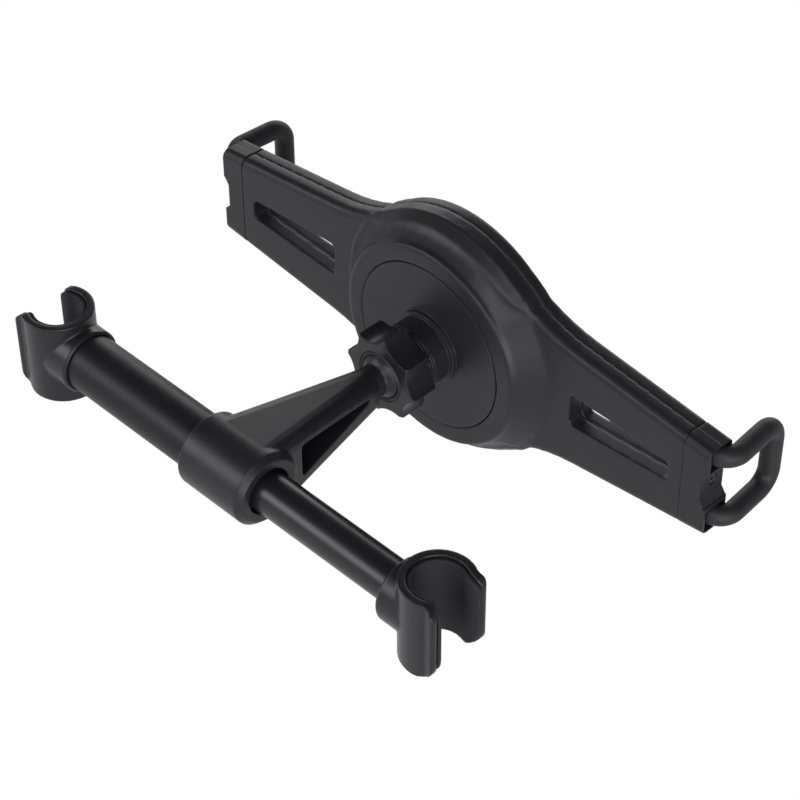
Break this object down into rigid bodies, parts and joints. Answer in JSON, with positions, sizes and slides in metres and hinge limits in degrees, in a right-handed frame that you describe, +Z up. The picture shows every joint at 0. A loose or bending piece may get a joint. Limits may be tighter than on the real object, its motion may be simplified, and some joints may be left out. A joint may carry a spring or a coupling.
{
  "type": "headrest tablet mount",
  "caption": "Car headrest tablet mount: sprung telescopic bar with open post hooks, an arm with a lockable ball joint, and a bow-shaped cradle with sliding wire jaws.",
  "frame": {"origin": "centre of the left post clamp, on the axis of the bar", "axes": "+Z up along the headrest posts, +X along the bar to the other post, +Y towards the tablet and the rear passenger"},
  "size_m": [0.2148, 0.1274, 0.08],
  "materials": {
    "black_plastic": "satin",
    "rubber": "matte",
    "tube_metal": "satin",
    "bearing_plastic": "satin",
    "screw_steel": "satin"
  },
  "bodies": {
    "bar": {"left_hook": "black_plastic", "left_hook_liner": "rubber", "outer_tube": "tube_metal", "tube_bush": "bearing_plastic", "arm": "black_plastic"},
    "rod": {"inner_rod": "tube_metal", "rod_stop": "bearing_plastic", "right_hook": "black_plastic", "right_hook_liner": "rubber"},
    "ball_ring": {"ball_front_ring": "bearing_plastic"},
    "ball_cup": {"ball_rear_cup": "bearing_plastic"},
    "cradle": {"rear_shell": "black_plastic", "front_shell": "black_plastic", "socket_disc": "black_plastic", "shell_screws": "screw_steel", "front_pads": "rubber"},
    "knob": {"lock_knob": "black_plastic"},
    "pinion": {"pinion": "bearing_plastic"},
    "left_jaw": {"left_slide": "black_plastic", "left_loop": "rubber", "left_block_screw": "screw_steel"},
    "right_jaw": {"right_slide": "black_plastic", "right_loop": "rubber", "right_block_screw": "screw_steel"}
  },
  "joints": [
    {"name": "rod_slide", "type": "slide", "parent": "bar", "child": "rod", "axis": [1, 0, 0], "range_m": [-0.035, 0], "stiffness_N_per_m": 300, "springref_m": 0.03},
    {"name": "ball_tilt", "type": "hinge", "parent": "bar", "child": "ball_ring", "pos_m": [0.0795, 0.061, 0], "axis": [1, 0, 0], "range_deg": [-15, 15]},
    {"name": "ball_swing", "type": "hinge", "parent": "ball_ring", "child": "ball_cup", "pos_m": [0.0795, 0.061, 0], "axis": [0, 0, 1], "range_deg": [-15, 15]},
    {"name": "ball_spin", "type": "hinge", "parent": "ball_cup", "child": "cradle", "pos_m": [0.0795, 0.061, 0], "axis": [0, 1, 0], "continuous": true},
    {"name": "knob_turn", "type": "hinge", "parent": "cradle", "child": "knob", "pos_m": [0.0795, 0.061, 0], "axis": [0, -1, 0], "range_deg": [0, 180]},
    {"name": "right_jaw_slide", "type": "slide", "parent": "cradle", "child": "right_jaw", "axis": [1, 0, 0], "range_m": [0, 0.035], "stiffness_N_per_m": 200, "springref_m": -0.03},
    {"name": "left_jaw_slide", "type": "slide", "parent": "cradle", "child": "left_jaw", "axis": [-1, 0, 0], "range_m": [0, 0.035]},
    {"name": "pinion_spin", "type": "hinge", "parent": "cradle", "child": "pinion", "pos_m": [0.0795, 0.09, 0], "axis": [0, 1, 0], "range_deg": [-2, 337]}
  ],
  "couplings": [
    {"joint": "left_jaw_slide", "follows": "right_jaw_slide", "ratio": 1},
    {"joint": "pinion_spin", "follows": "right_jaw_slide", "rad_per_m": 166.67}
  ]
}
